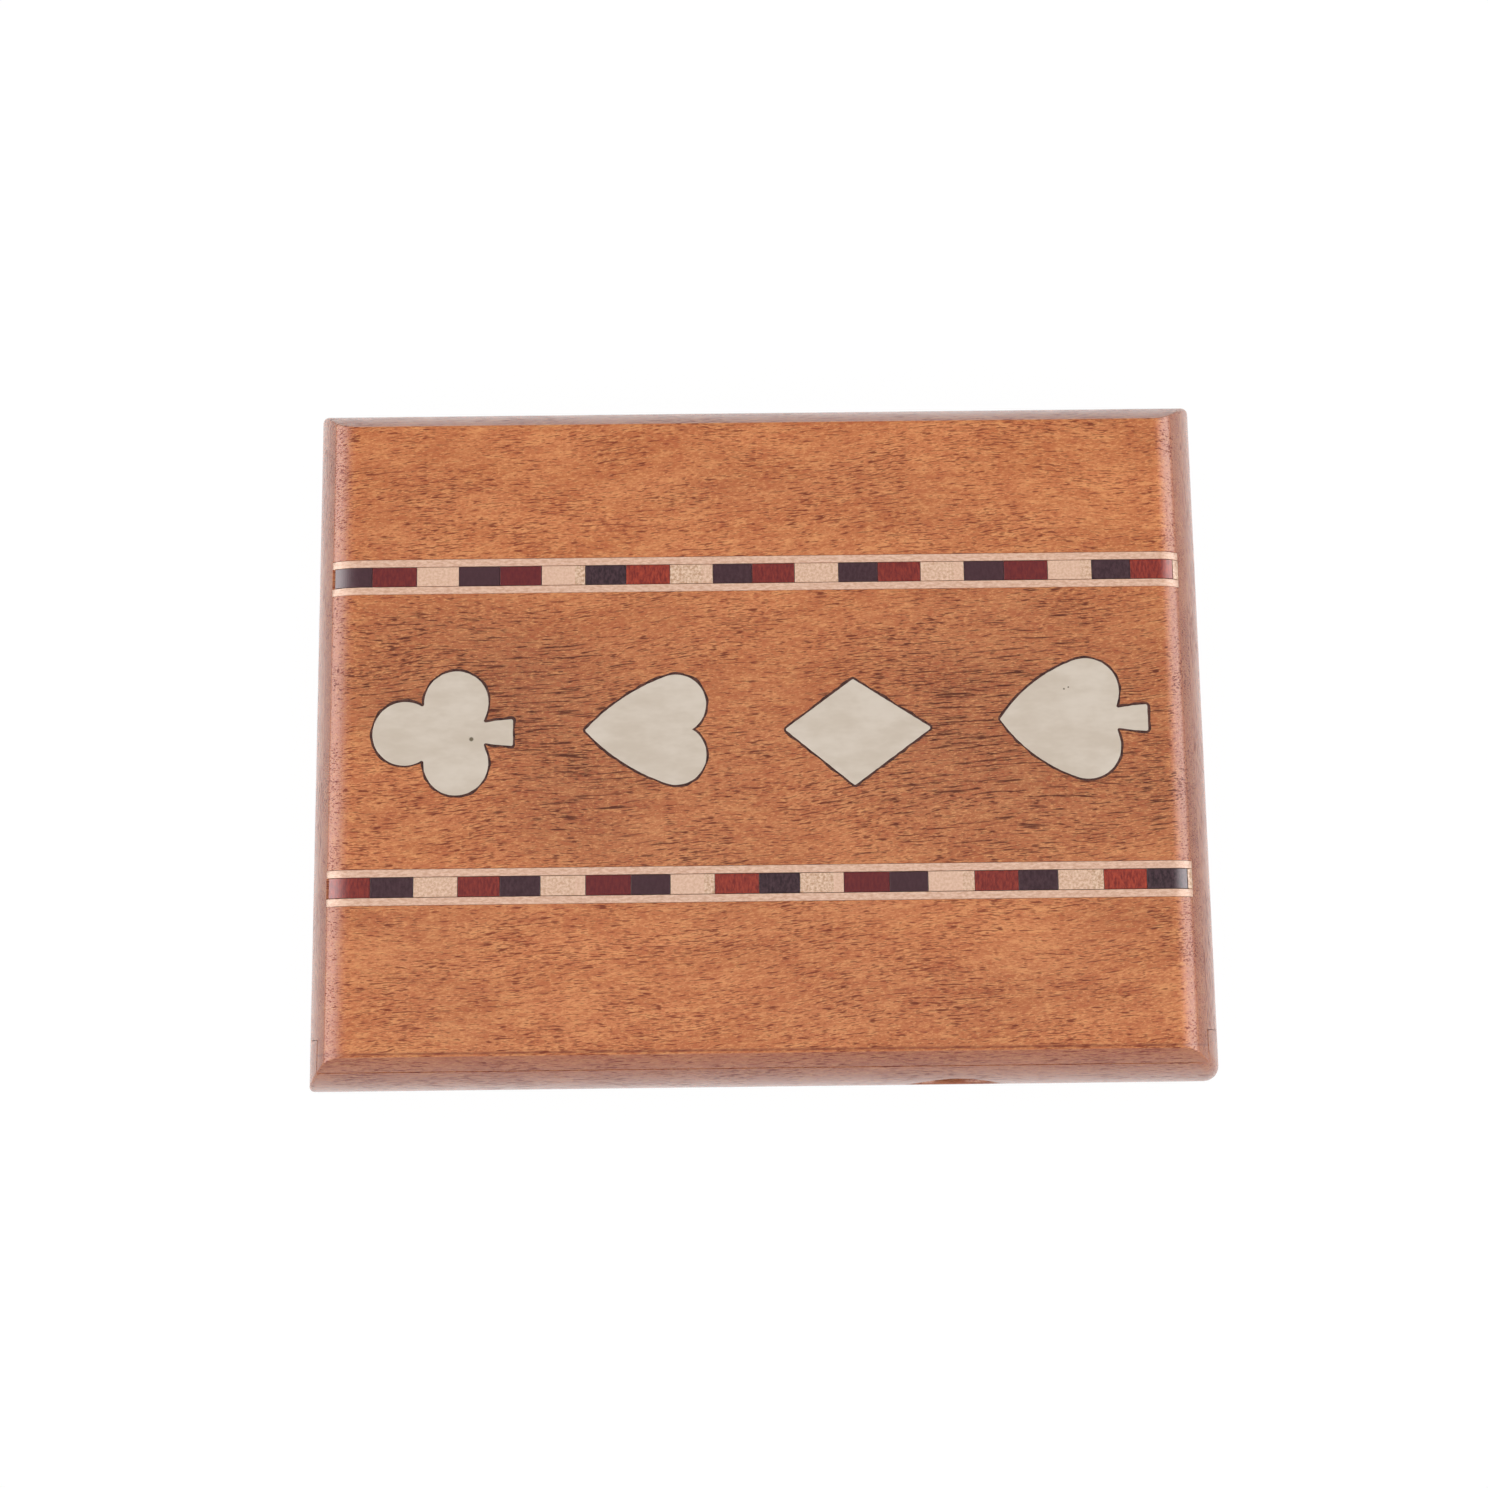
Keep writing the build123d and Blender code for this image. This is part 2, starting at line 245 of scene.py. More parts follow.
    # the open grain breaks the lacquer's shine
    shine = calc(tree, "MULTIPLY_ADD", marks, -0.7, 1.0)
    feed(tree, shader.inputs["Coat Weight"], calc(tree, "MULTIPLY", shine, look["lacquer"]))
    lacquerOver(shader)
    height = calc(tree, "MULTIPLY_ADD", marks, -0.6, fibre)
    emboss(tree, shader, height, look["relief"], look["poreRelief"])
    return material


caseLook = {
    "shift": (0.0, 0.0, 0.0),
    "lean": 0.07,  # rise of the grain along the board
    "wander": 0.006,
    "pale": srgb(219, 134, 78),
    "deep": srgb(199, 112, 58),
    "glow": srgb(238, 164, 98),
    "blush": srgb(184, 88, 44),
    "dusk": srgb(134, 70, 44),
    "pore": srgb(126, 52, 28),
    "streak": srgb(82, 36, 24),
    "figure": 0.5,
    "fibre": 0.5,
    "wildness": 0.35,
    "duskShare": 0.42,
    "pores": (0.0025, 0.00029),  # length and width
    "poreLimit": 0.585,  # the higher, the fewer
    "poreSpread": 0.04,
    "streakLimit": 0.68,
    "poreDepth": 0.9,
    "gloss": 0.45,
    "glossSpread": 0.06,
    "lacquer": 1.0,
    "relief": 0.3,
    "poreRelief": 0.00006,
    "paintedShadeLevel": 0.038,  # height of the flat top, where the painted shade on shoulders and walls ends
    "paintedShadeBlend": 0.0005,
    # painted shade on the shoulders and walls: how strong it is, and its colour
    "paintedShadeAmount": 0.46,
    "paintedShadeColour": srgb(104, 22, 16),
}
topLook = {
    **caseLook,
    "zones": (  # where the figure is wilder
        {"place": (-0.058, 0.012), "size": (0.03, 0.018), "strength": 0.8},
        {"place": (0.056, 0.0), "size": (0.044, 0.036), "strength": 0.75},
        {"place": (-0.034, -0.002), "size": (0.02, 0.024), "strength": 0.35},
        {"place": (0.0, -0.004), "size": (0.07, 0.03), "strength": 0.4},
    ),
    "crease": -0.0569,  # where the front arris runs
    "creaseWidth": 0.0004,
}
caseWood = woodMaterial("caseWood", topLook)
sideWood = woodMaterial("sideWood", {**caseLook, "shift": (0.3, 0.1, 0.2), "turn": math.pi / 2})
backWood = woodMaterial("backWood", {**caseLook, "shift": (0.7, 0.4, 0.1)})
frontWood = woodMaterial("frontWood", {**caseLook, "shift": (-0.4, 0.3, 0.5)})
underWood = woodMaterial("underWood", {**caseLook, "shift": (-0.8, 0.6, 0.9)})

drawerLook = {
    **caseLook,
    "pale": srgb(204, 158, 112),
    "deep": srgb(180, 130, 88),
    "glow": srgb(216, 176, 130),
    "blush": srgb(178, 122, 84),
    "dusk": srgb(146, 100, 66),
    "pore": srgb(116, 74, 50),
    "streak": srgb(120, 80, 54),
    "poreDepth": 0.55,
    "gloss": 0.55,
    "lacquer": 0.15,
    # no painted shade on the drawer
    "paintedShadeAmount": 0.0,
}
drawerWood = woodMaterial("drawerWood", {**drawerLook, "shift": (0.2, 0.8, 0.3)})
sideLook = {**drawerLook, "shift": (1.2, 0.5, 0.7), "turn": math.pi / 2}
drawerSideWood = woodMaterial("drawerSideWood", sideLook)


# Inlay finishes

def bandingMaterial(name, look):
    # small pieces of wood: each block has its own tone
    material, tree, shader = newMaterial(name)
    place = objectPlace(tree, look["shift"])
    grain = cloud(tree, place, look["grain"], 3.0, 0.65)
    colour = tint(tree, ease(tree, grain, 0.3, 0.7), look["deep"], look["pale"])
    if "other" in look:
        parts = addNode(tree, "ShaderNodeSeparateXYZ")
        feed(tree, parts.inputs[0], objectPlace(tree))
        along = calc(tree, "SUBTRACT", parts.outputs[0], look["start"])
        along = calc(tree, "DIVIDE", along, look["pitch"])
        across = calc(tree, "MULTIPLY", parts.outputs[1], look["rows"])
        tone = addNode(tree, "ShaderNodeTexWhiteNoise", noise_dimensions="2D")
        join = addNode(tree, "ShaderNodeCombineXYZ")
        feed(tree, join.inputs[0], calc(tree, "FLOOR", along))
        feed(tree, join.inputs[1], calc(tree, "FLOOR", across))
        tree.links.new(join.outputs[0], tone.inputs["Vector"])
        share = calc(tree, "MULTIPLY", tone.outputs["Value"], look["vary"])
        colour = tint(tree, share, colour, look["other"])
    for pit, radius in look.get("pits", ()):
        away = addNode(tree, "ShaderNodeVectorMath", operation="DISTANCE")
        feed(tree, away.inputs[0], stretch(tree, objectPlace(tree), (1, 1, 0)))
        away.inputs[1].default_value = (*pit, 0)
        inside = ease(tree, away.outputs["Value"], radius, radius * 0.5, 0.0, look["pitDark"])
        colour = tint(tree, inside, colour, look["pitColour"])
    feed(tree, shader.inputs["Base Color"], colour)
    shader.inputs["Roughness"].default_value = look["gloss"]
    shader.inputs["Coat Weight"].default_value = 1.0
    lacquerOver(shader)
    emboss(tree, shader, grain, 0.2, 0.0001)
    return material


# Outside, shoulder and walls are the solids' own; the wear of corners, ends and arris is not
boxSizes = {
    "length": cadHigh.x - cadLow.x,
    "depth": cadHigh.y - cadLow.y,
    "height": cadHigh.z,
    "wall": 8.0 * mm,
    "frontGap": 0.08 * mm,  # the closed front all but touches the sides
    "shoulderRun": 8.0 * mm,
    "shoulderDrop": 16.8 * mm,
    "crownRadius": 4.0 * mm,
    "cornerRadii": [1.0 * mm, 1.0 * mm, 0.5 * mm, 2.4 * mm],  # worn most at the front right
    "mitreRadius": 0.3 * mm,
    "footRounding": 0.8 * mm,
    # the ends' soft round-over: where it starts on the flank, how steep, where it ends
    "left": {"radius": 26.5 * mm, "crease": 4.9 * mm, "tilt": math.radians(38), "flat": 10.8 * mm},
    "right": {"radius": 22.5 * mm, "crease": 6.0 * mm, "tilt": math.radians(42), "flat": 10.1 * mm},
    "arrisRadius": 0.6 * mm,
}
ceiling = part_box("top_board")[0].z
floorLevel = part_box("bottom_board")[1].z
banding = {
    "inlay": 1.6 * mm,
    "blockWidth": 3.6 * mm,
    "lengths": {"dark": 7.2 * mm, "red": 7.8 * mm, "light": 7.95 * mm},
    "margin": 5.25 * mm,
    "joint": 0.05 * mm,  # half the dark line between two blocks
    "unevenness": 0.22 * mm,
    "repeats": 7,
    "seeds": {"rear": 4, "front": 9},
}
bandingPitch = sum(banding["lengths"].values())
patternStart = cadLow.x + banding["margin"]
# each block takes its tone from the cell it lies in: a run of three, at the rear or the front
blockCells = {"start": patternStart - 2 * mm, "pitch": bandingPitch, "rows": 20.0, "vary": 0.8}

paleWood = bandingMaterial("paleWood", {
    "shift": (0.1, 0.2, 0.0),
    "grain": (0.0011, 0.0004, 0.0004),
    "deep": srgb(212, 162, 134),
    "pale": srgb(240, 200, 174),
    "gloss": 0.4,
})
lightBlockWood = bandingMaterial("lightBlockWood", {
    **blockCells,
    "shift": (0.4, 0.1, 0.3),
    "grain": (0.0005, 0.0005, 0.0005),
    "deep": srgb(190, 140, 104),
    "pale": srgb(244, 212, 184),
    "other": srgb(234, 190, 164),
    "vary": 0.7,
    "gloss": 0.42,
})
darkBlockWood = bandingMaterial("darkBlockWood", {
    **blockCells,
    "shift": (0.6, 0.5, 0.1),
    "grain": (0.0006, 0.0012, 0.0006),
    "deep": srgb(42, 24, 32),
    "pale": srgb(80, 54, 62),
    "other": srgb(78, 42, 50),
    "gloss": 0.36,
})
redBlockWood = bandingMaterial("redBlockWood", {
    **blockCells,
    "shift": (0.2, 0.9, 0.4),
    "grain": (0.0004, 0.0014, 0.0004),
    "deep": srgb(124, 28, 16),
    "pale": srgb(186, 62, 30),
    "other": srgb(92, 22, 36),
    "gloss": 0.36,
})
boneResin = bandingMaterial("boneResin", {
    "shift": (0.5, 0.3, 0.2),
    "grain": (0.009, 0.004, 0.004),
    "deep": srgb(208, 192, 174),
    "pale": srgb(220, 206, 190),
    "pits": (  # middle and radius: one in the club, two in the spade
        ((-0.05195, -0.00115), 0.0005),
        ((0.0547, 0.0068), 0.00022),
        ((0.0555, 0.0071), 0.0002),
    ),
    "pitDark": 0.85,
    "pitColour": srgb(84, 70, 40),
    "gloss": 0.33,
})
glueDark = bandingMaterial("glueDark", {
    "shift": (0, 0, 0),
    "grain": (0.001, 0.001, 0.001),
    "deep": srgb(58, 32, 28),
    "pale": srgb(98, 60, 48),
    "gloss": 0.35,
})


# Mesh helpers

def meshPiece(name, shape):
    mesh = bpy.data.meshes.new(name)
    shape.to_mesh(mesh)
    shape.free()
    piece = bpy.data.objects.new(name, mesh)
    bpy.context.scene.collection.objects.link(piece)
    return piece


def settle(piece):
    # the modifiers' result becomes the piece's plain mesh
    bpy.context.view_layer.update()
    graph = bpy.context.evaluated_depsgraph_get()
    plain = bpy.data.meshes.new_from_object(piece.evaluated_get(graph), depsgraph=graph)
    piece.modifiers.clear()
    old = piece.data
    piece.data = plain
    bpy.data.meshes.remove(old)
    return piece


def carve(piece, tool, operation="DIFFERENCE", keepTool=False):
    step = piece.modifiers.new("carve", "BOOLEAN")
    step.operation = operation
    step.solver = "EXACT"
    step.object = tool
    settle(piece)
    if not keepTool:
        bpy.data.objects.remove(tool)
    return piece


def prism(name, outline, low, high):
    # an upright block over a plan outline, given anticlockwise
    shape = bmesh.new()
    under = [shape.verts.new((x, y, low)) for x, y in outline]
    upper = [shape.verts.new((x, y, high)) for x, y in outline]
    shape.faces.new(list(reversed(under)))
    shape.faces.new(upper)
    for i in range(len(outline)):
        j = (i + 1) % len(outline)
        shape.faces.new((under[i], under[j], upper[j], upper[i]))
    return meshPiece(name, shape)


def block(name, low, high):
    corners = [(low[0], low[1]), (high[0], low[1]), (high[0], high[1]), (low[0], high[1])]
    return prism(name, corners, low[2], high[2])


def soften(piece, width, angle=30.0, segments=2):
    # rounds the sharp edges and shades flat faces flat, curved ones smooth
    piece.data.shade_smooth()
    edges = piece.modifiers.new("edges", "BEVEL")
    edges.width = width
    edges.segments = segments
    edges.limit_method = "ANGLE"
    edges.angle_limit = math.radians(angle)
    edges.use_clamp_overlap = True
    shading = piece.modifiers.new("shading", "WEIGHTED_NORMAL")
    shading.keep_sharp = True
    return settle(piece)


def dress(piece, material, body, slot, *nodes):
    piece.data.materials.clear()
    piece.data.materials.append(material)
    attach(piece, body)
    if nodes:
        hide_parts(*nodes)
    return piece


# Outer form of the closed box: rings from the foot up to the flat top. The ends round over
# softly to a crease on the flank; front and back break at a crisp arris.

formSteps = {
    "foot": 5,
    "flank": 16,
    "crown": 16,
    "arris": 6,
    "corner": 8,
    "ringGap": 0.002 * mm,  # rings closer than this are left out
}


def flankRadius(sizes):
    run, drop, crown = sizes["shoulderRun"], sizes["shoulderDrop"], sizes["crownRadius"]
    return (run**2 + drop * (drop - 2 * crown)) / (2 * (run - crown))


def lowerSection(sizes, flank, lastAngle):
    # pairs of level and inset up the foot, the wall and the slow flank arc
    foot, start = sizes["footRounding"], sizes["height"] - sizes["shoulderDrop"]
    points = []
    for step in range(formSteps["foot"] + 1):
        angle = math.pi / 2 * (1 - step / formSteps["foot"])
        points.append((foot * (1 - math.sin(angle)), foot * (1 - math.cos(angle))))
    for step in range(formSteps["flank"] + 1):
        angle = lastAngle * step / formSteps["flank"]
        points.append((start + flank * math.sin(angle), flank * (1 - math.cos(angle))))
    return points


def endSection(sizes, hand):
    # left or right: a soft round-over that begins at a crease
    end, height = sizes[hand], sizes["height"]
    points = lowerSection(sizes, end["radius"], math.acos(1 - end["crease"] / end["radius"]))
    level, inset = points[-1]
    turn = inset + (height - level) / math.tan(end["tilt"])
    for step in range(1, formSteps["crown"] + 1):
        t = step / formSteps["crown"]
        points.append((
            level + (height - level) * (1 - (1 - t) ** 2),
            (1 - t) ** 2 * inset + 2 * t * (1 - t) * turn + t * t * end["flat"],
        ))
    return points


def faceSection(sizes):
    # front and back: the flank runs into a small hard arris
    flank, arris = flankRadius(sizes), sizes["arrisRadius"]
    rise = sizes["shoulderDrop"] - arris
    reachIn = math.sqrt((flank - arris) ** 2 - rise**2)
    angle = math.atan2(rise, reachIn)
    points = lowerSection(sizes, flank, angle)
    for step in range(1, formSteps["arris"] + 1):
        turn = angle + (math.pi / 2 - angle) * step / formSteps["arris"]
        points.append((
            sizes["height"] - arris + arris * math.sin(turn),
            flank - reachIn - arris * math.cos(turn),
        ))
    return points


def insetAt(section, level):
    # how far a section stands in from the outermost line at a level
    for (low, near), (high, far) in zip(section, section[1:]):
        if level <= high:
            return near + (far - near) * max(0.0, level - low) / max(1e-9, high - low)
    return section[-1][1]


def ringOutline(left, right, face, radii, sizes):
    # rounded rectangle, anticlockwise from the right rear corner
    halfLength, halfDepth = sizes["length"] / 2, sizes["depth"] / 2 - face
    points = []
    for corner, (side, rear) in enumerate(((1, 1), (-1, 1), (-1, -1), (1, -1))):
        radius = radii[corner]
        end = halfLength - (right if side > 0 else left)
        for step in range(formSteps["corner"] + 1):
            angle = math.pi / 2 * (corner + step / formSteps["corner"])
            points.append((
                side * (end - radius) + radius * math.cos(angle),
                rear * (halfDepth - radius) + radius * math.sin(angle),
            ))
    return points


def outerForm(name, radii):
    sections = endSection(boxSizes, "left"), endSection(boxSizes, "right"), faceSection(boxSizes)
    levels = []
    for level in sorted(point[0] for section in sections for point in section):
        if not levels or level - levels[-1] > formSteps["ringGap"]:
            levels.append(level)
    shape = bmesh.new()
    rings = []
    for level in levels:
        outline = ringOutline(*(insetAt(section, level) for section in sections), radii, boxSizes)
        rings.append([shape.verts.new((x, y, level)) for x, y in outline])
    for lower, upper in zip(rings, rings[1:]):
        for i in range(len(lower)):
            j = (i + 1) % len(lower)
            shape.faces.new((lower[i], lower[j], upper[j], upper[i]))
    shape.faces.new(list(reversed(rings[0])))
    shape.faces.new(rings[-1])
    return meshPiece(name, shape)


mitred = [boxSizes["mitreRadius"]] * 4
worn = boxSizes["cornerRadii"]
fullForm = outerForm("fullForm", mitred)


def fromForm(name, tool, radii):
    # the part of the outer form that lies inside the tool
    return carve(outerForm(name, radii), tool, "INTERSECT")


print("case")
softEdges = {  # how far each kind of piece is sanded round
    "case": 0.06 * mm,
    "foot": 0.1 * mm,
    "line": 0.05 * mm,
    "block": 0.04 * mm,
    "suit": 0.08 * mm,
    "drawer": 0.25 * mm,
}
reach = 10 * mm  # tools stand this far out of the wood
through = 1.0  # and these go right through the box
weld = 1e-6  # corners closer than this are one

suitNodes = ("club_inlay", "heart_inlay", "diamond_inlay", "spade_inlay")
suitCut = {
    "step": 0.35 * mm,
    "saw": 0.05 * mm,  # unevenness of the sawn edge
    "sawWave": 0.9 * mm,
    "glue": 0.42 * mm,
    "glueUneven": 0.6,
    "glueWave": 1.6 * mm,
    "glueDrop": 0.07 * mm,  # the glue sank below the face
    "stemmed": ("club_inlay", "spade_inlay"),
    "pinch": 0.1,  # how much narrower the stems are at the neck
    "neckPlace": 5.4 * mm,
    "neckLength": 1.8 * mm,
    "stemHalf": 3 * mm,
    "knot": 24,  # the longest knot that widening ties, in steps
}


def untangle(loop):
    # cuts off the small knots that widening ties in tight inner corners
    for turn in range(len(loop)):
        for gap in range(suitCut["knot"], 1, -1):
            meet = geometry.intersect_line_line_2d(loop[0], loop[1], loop[gap], loop[gap + 1])
            if meet:
                loop = [loop[0], meet] + loop[gap + 1:]
                break
        loop = loop[1:] + loop[:1]
    return loop


def upperOutline(node):
    # the outline of a solid's upper face, anticlockwise
    shape = bmesh.new()
    shape.from_mesh(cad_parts[node].data)
    bmesh.ops.remove_doubles(shape, verts=shape.verts, dist=weld)
    upper = [f for f in shape.faces if f.normal.z > 0.9]
    inside = set(upper)
    following = {}
    for face in upper:
        for corner in face.loops:
            mate = corner.link_loop_radial_next
            if mate.face not in inside or mate.face == face:
                following[corner.vert] = corner.link_loop_next.vert
    start = next(iter(following))
    loop, here = [start.co.xy.copy()], following[start]
    while here != start:
        loop.append(here.co.xy.copy())
        here = following[here]
    shape.free()
    return loop


def suitLoop(node, grow=0.0):
    # a suit's outline, hand-sawn, its stem a little pinched, widened by about grow
    loop = upperOutline(node)
    points = []
    for i, point in enumerate(loop):
        ahead = loop[(i + 1) % len(loop)]
        pieces = max(1, round((ahead - point).length / suitCut["step"]))
        points.extend(point.lerp(ahead, n / pieces) for n in range(pieces))
    low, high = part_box(node)
    axis, neck = (low.y + high.y) / 2, high.x - suitCut["neckPlace"]
    widened = []
    for i, point in enumerate(points):
        before = (point - points[i - 1]).normalized()
        after = (points[(i + 1) % len(points)] - point).normalized()
        outward = Vector((before.y + after.y, -before.x - after.x)).normalized()
        square = Vector((before.y, -before.x))
        uneven = noise.noise(point.to_3d() / suitCut["glueWave"])
        wide = grow * (1 + suitCut["glueUneven"] * uneven)
        wide += suitCut["saw"] * noise.noise(point.to_3d() / suitCut["sawWave"] + Vector((7, 3, 1)))
        moved = point + outward * wide / max(0.5, outward.dot(square))
        if node in suitCut["stemmed"] and abs(point.y - axis) < suitCut["stemHalf"]:
            near = math.exp(-(((point.x - neck) / suitCut["neckLength"]) ** 2))
            moved.y -= (point.y - axis) * suitCut["pinch"] * near
        widened.append(moved)
    return [tuple(point) for point in untangle(widened)]


inlayFloor = cadHigh.z - banding["inlay"]

topTool = block("tool", (-through, -through, ceiling), (through, through, through))
topBoard = fromForm("topBoard", topTool, mitred)
for side in ("rear", "front"):
    low = min(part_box(f"{side}_banding_{line}_line")[0].y for line in ("outer", "inner"))
    high = max(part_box(f"{side}_banding_{line}_line")[1].y for line in ("outer", "inner"))
    carve(topBoard, block("tool", (-through, low, inlayFloor), (through, high, through)))
for node in suitNodes:
    pocket = suitLoop(node, suitCut["glue"])
    carve(topBoard, prism("tool", pocket, inlayFloor, cadHigh.z + reach))
soften(topBoard, softEdges["case"])
dress(topBoard, caseWood, "case", "case_wood", "top_board")

bottomTool = block("tool", (-through, -through, -through), (through, through, floorLevel))
bottomBoard = fromForm("bottomBoard", bottomTool, worn)
soften(bottomBoard, softEdges["foot"])
dress(bottomBoard, underWood, "case", "case_wood", "bottom_board")

frontLow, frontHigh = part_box("drawer_front")
wallFront = frontHigh.y + boxSizes["frontGap"]
openingHalf = cadHigh.x - boxSizes["wall"]
cavityRear = cadHigh.y - boxSizes["wall"]
for hand, name, node in ((-1, "leftSide", "left_side"), (1, "rightSide", "right_side")):
    outline = [
        (hand * cadHigh.x, wallFront),
        (hand * cadHigh.x, cadHigh.y),
        (hand * openingHalf, cavityRear),
        (hand * openingHalf, wallFront),
    ]
    if hand < 0:
        outline.reverse()
    wall = fromForm(name, prism("tool", outline, floorLevel, ceiling), worn)
    soften(wall, softEdges["case"])
    dress(wall, sideWood, "case", "case_wood", node)
outline = [
    (-cadHigh.x, cadHigh.y),
    (-openingHalf, cavityRear),
    (openingHalf, cavityRear),
    (cadHigh.x, cadHigh.y),
]
backWall = fromForm("backWall", prism("tool", outline, floorLevel, ceiling), worn)
soften(backWall, softEdges["case"])
dress(backWall, backWood, "case", "case_wood", "back_wall")


print("inlay")


def blockTree():
    # a row of blocks with uneven joints: block n ends where block n + 1 begins
    tree = bpy.data.node_groups.new("blockRow", "GeometryNodeTree")
    face = tree.interface
    face.new_socket("Geometry", in_out="OUTPUT", socket_type="NodeSocketGeometry")
    labels = {
        "Int": ("Count", "Place", "Seed"),
        "Float": (
            "Pitch", "Start", "Length", "Width", "Thickness",
            "Middle", "Level", "Joint", "Unevenness",
        ),
        "Material": ("Material",),
    }
    for kind, names in labels.items():
        for label in names:
            face.new_socket(label, in_out="INPUT", socket_type=f"NodeSocket{kind}")
    given = tree.nodes.new("NodeGroupInput").outputs
    index = tree.nodes.new("GeometryNodeInputIndex").outputs[0]
    # three kinds take turns, so joints are counted by threes
    number = calc(tree, "MULTIPLY_ADD", index, 3.0, given["Place"])

    def joint(offset):
        shift = addNode(tree, "FunctionNodeRandomValue", data_type="FLOAT")
        feed(tree, shift.inputs[2], calc(tree, "MULTIPLY", given["Unevenness"], -1.0))
        feed(tree, shift.inputs[3], given["Unevenness"])
        feed(tree, shift.inputs[7], calc(tree, "ADD", number, offset))
        feed(tree, shift.inputs[8], given["Seed"])
        return shift.outputs[1]

    left = calc(tree, "MULTIPLY_ADD", index, given["Pitch"], given["Start"])
    left = calc(tree, "ADD", left, joint(0.0))
    end = calc(tree, "ADD", given["Start"], given["Length"])
    right = calc(tree, "MULTIPLY_ADD", index, given["Pitch"], end)
    right = calc(tree, "ADD", right, joint(1.0))
    left = calc(tree, "ADD", left, given["Joint"])
    right = calc(tree, "SUBTRACT", right, given["Joint"])
    middle = calc(tree, "MULTIPLY", calc(tree, "ADD", left, right), 0.5)
    place = addNode(tree, "ShaderNodeCombineXYZ")
    feed(tree, place.inputs[0], middle)
    feed(tree, place.inputs[1], given["Middle"])
    feed(tree, place.inputs[2], given["Level"])
    row = addNode(tree, "GeometryNodeMeshLine", mode="OFFSET")
    feed(tree, row.inputs["Count"], given["Count"])
    seat = addNode(tree, "GeometryNodeSetPosition")
    feed(tree, seat.inputs["Geometry"], row.outputs[0])
    feed(tree, seat.inputs["Position"], place.outputs[0])
    size = addNode(tree, "ShaderNodeCombineXYZ")
    feed(tree, size.inputs[0], calc(tree, "SUBTRACT", right, left))
    feed(tree, size.inputs[1], calc(tree, "MULTIPLY_ADD", given["Joint"], -2.0, given["Width"]))
    feed(tree, size.inputs[2], given["Thickness"])
    cube = addNode(tree, "GeometryNodeMeshCube")
    cube.inputs["Size"].default_value = (1, 1, 1)
    copies = addNode(tree, "GeometryNodeInstanceOnPoints")
    feed(tree, copies.inputs["Points"], seat.outputs[0])
    feed(tree, copies.inputs["Instance"], cube.outputs["Mesh"])
    feed(tree, copies.inputs["Scale"], size.outputs[0])
    whole = addNode(tree, "GeometryNodeRealizeInstances")
    feed(tree, whole.inputs[0], copies.outputs[0])
    coat = addNode(tree, "GeometryNodeSetMaterial")
    feed(tree, coat.inputs["Geometry"], whole.outputs[0])
    feed(tree, coat.inputs["Material"], given["Material"])
    out = tree.nodes.new("NodeGroupOutput")
    tree.links.new(coat.outputs[0], out.inputs[0])
    return tree


def runTree(name, tree, values):
    piece = meshPiece(name, bmesh.new())
    modifier = piece.modifiers.new("made", "NODES")
    modifier.node_group = tree
    for item in tree.interface.items_tree:
        if item.in_out == "INPUT" and item.name in values:
            modifier[item.identifier] = values[item.name]
    return settle(piece)


blockRow = blockTree()
finishes = {"dark": darkBlockWood, "red": redBlockWood, "light": lightBlockWood}
slots = {"dark": "dark_wood", "red": "red_wood", "light": "pale_wood"}
orders = {"rear": ("dark", "red", "light"), "front": ("red", "dark", "light")}
for side, order in orders.items():
    for line in ("outer", "inner"):
        low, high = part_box(f"{side}_banding_{line}_line")
        near, away = low.y + banding["joint"], high.y - banding["joint"]
        tool = block("tool", (-through, near, inlayFloor), (through, away, through))
        strip = fromForm(f"{side}{line.title()}Line", tool, mitred)
        soften(strip, softEdges["line"])
        dress(strip, paleWood, "case", "pale_wood", f"{side}_banding_{line}_line")
    low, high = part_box(f"{side}_banding_dark_blocks")
    start = patternStart
    for place, kind in enumerate(order):
        values = {
            "Count": banding["repeats"],
            "Pitch": bandingPitch,
            "Start": start,
            "Length": banding["lengths"][kind],
            "Width": banding["blockWidth"],
            "Thickness": 2 * banding["inlay"],
            "Middle": (low.y + high.y) / 2,
            "Level": cadHigh.z,
            "Joint": banding["joint"],
            "Unevenness": banding["unevenness"],
            "Place": place,
            "Seed": banding["seeds"][side],
            "Material": finishes[kind],
        }
        start += banding["lengths"][kind]
        row = runTree(f"{side}{kind.title()}Blocks", blockRow, values)
        carve(row, fullForm, "INTERSECT", keepTool=True)
        soften(row, softEdges["block"])
        dress(row, finishes[kind], "case", slots[kind], f"{side}_banding_{kind}_blocks")

for node in suitNodes:
    name = node.split("_")[0]
    suit = prism(name + "Suit", suitLoop(node), inlayFloor, cadHigh.z)
    soften(suit, softEdges["suit"], 60.0)
    dress(suit, boneResin, "case", "suit_inlay", node)
    pocket = suitLoop(node, suitCut["glue"])
    glue = prism(name + "Glue", pocket, inlayFloor, cadHigh.z - suitCut["glueDrop"])
    carve(glue, prism("tool", suitLoop(node), inlayFloor - reach, cadHigh.z + reach))
    dress(glue, glueDark, "case", "dark_wood")
bpy.data.objects.remove(fullForm)


print("drawer")
frontTool = block("tool", (-through, -through, frontLow.z), (through, frontHigh.y, frontHigh.z))
drawerFront = fromForm("drawerFront", frontTool, worn)
hole = {"x": 34.6 * mm, "radius": 9.25 * mm, "rim": 0.7 * mm, "sides": 96, "rimSteps": 5}
holeLevel = (frontLow.z + frontHigh.z) / 2


